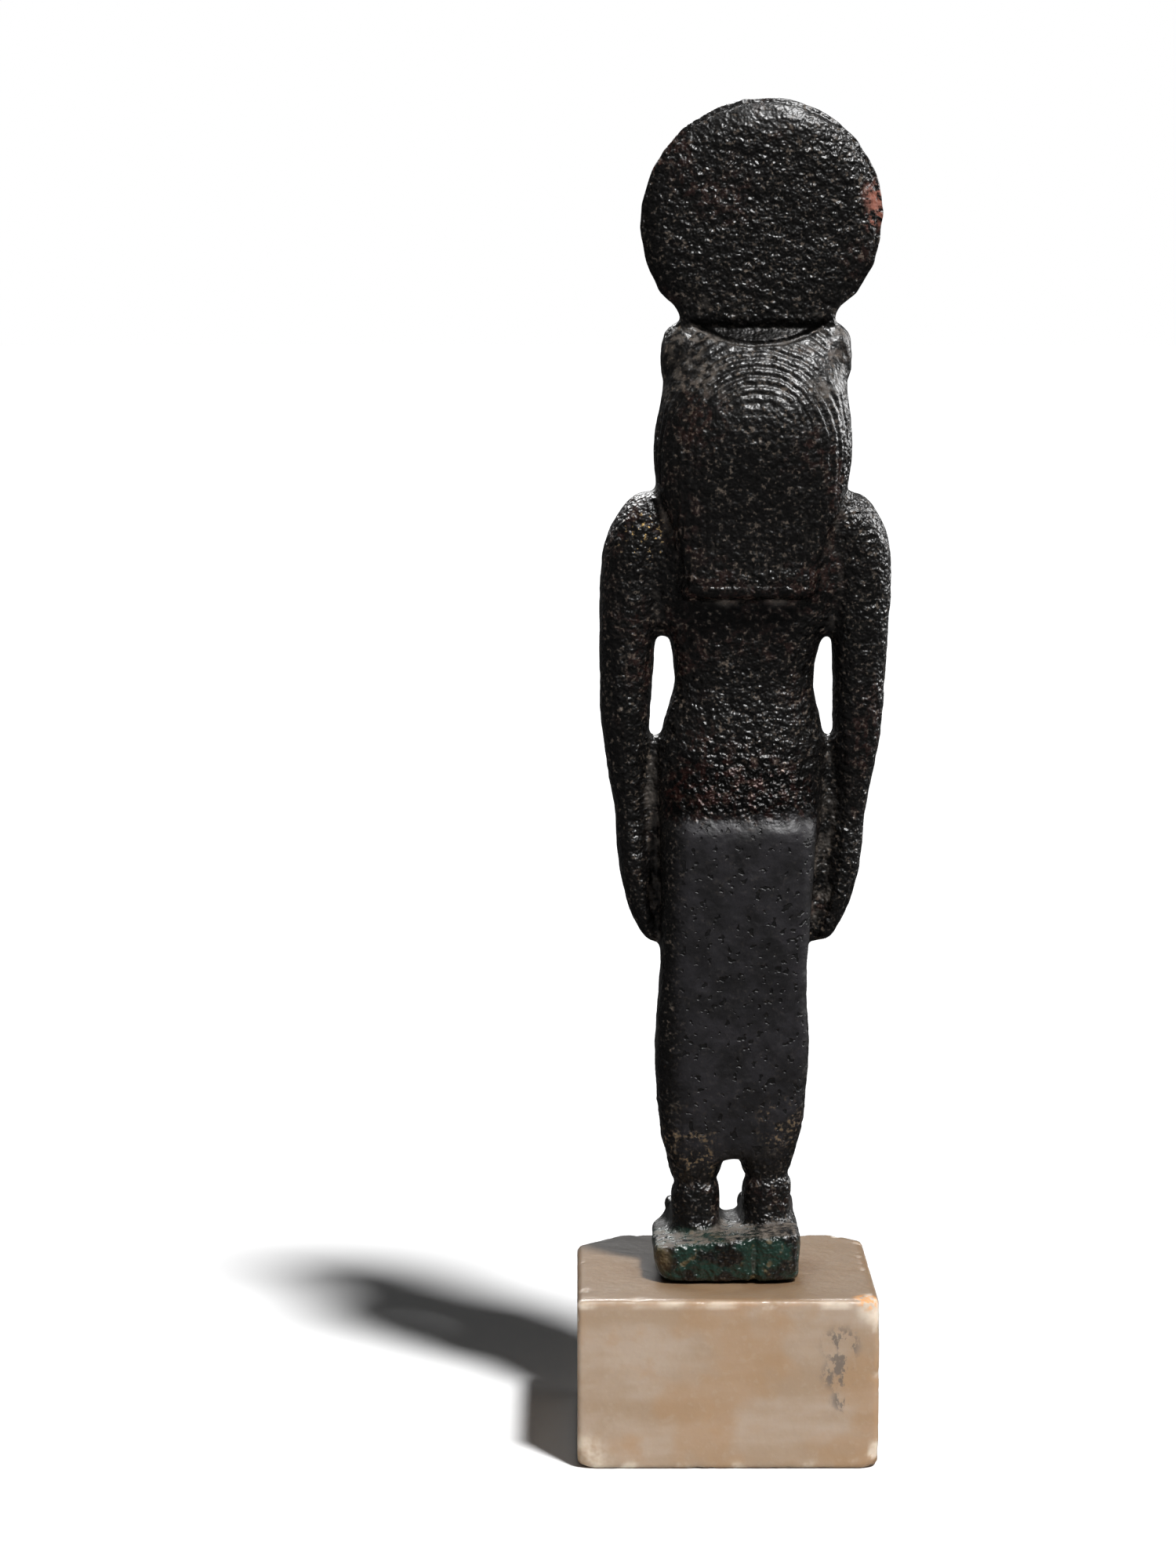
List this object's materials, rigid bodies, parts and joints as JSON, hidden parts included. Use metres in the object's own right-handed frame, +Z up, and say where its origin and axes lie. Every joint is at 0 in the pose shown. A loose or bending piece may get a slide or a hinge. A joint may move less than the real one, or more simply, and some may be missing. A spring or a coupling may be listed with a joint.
{
  "type": "bronze sekhmet statuette",
  "caption": "Cast bronze figure of a standing lioness-headed goddess with a sun disc, arms at the sides and a small integral plinth, set on a polished banded stone block.",
  "frame": {"origin": "middle of the stone block's underside", "axes": "+Z up, the figure faces -Y, its left hand is at +X"},
  "size_m": [0.0462, 0.04, 0.1985],
  "materials": {
    "bronze": "satin",
    "stone": "satin"
  },
  "bodies": {
    "root": {"bronze_figure": "bronze", "stone_base": "stone"}
  },
  "joints": []
}
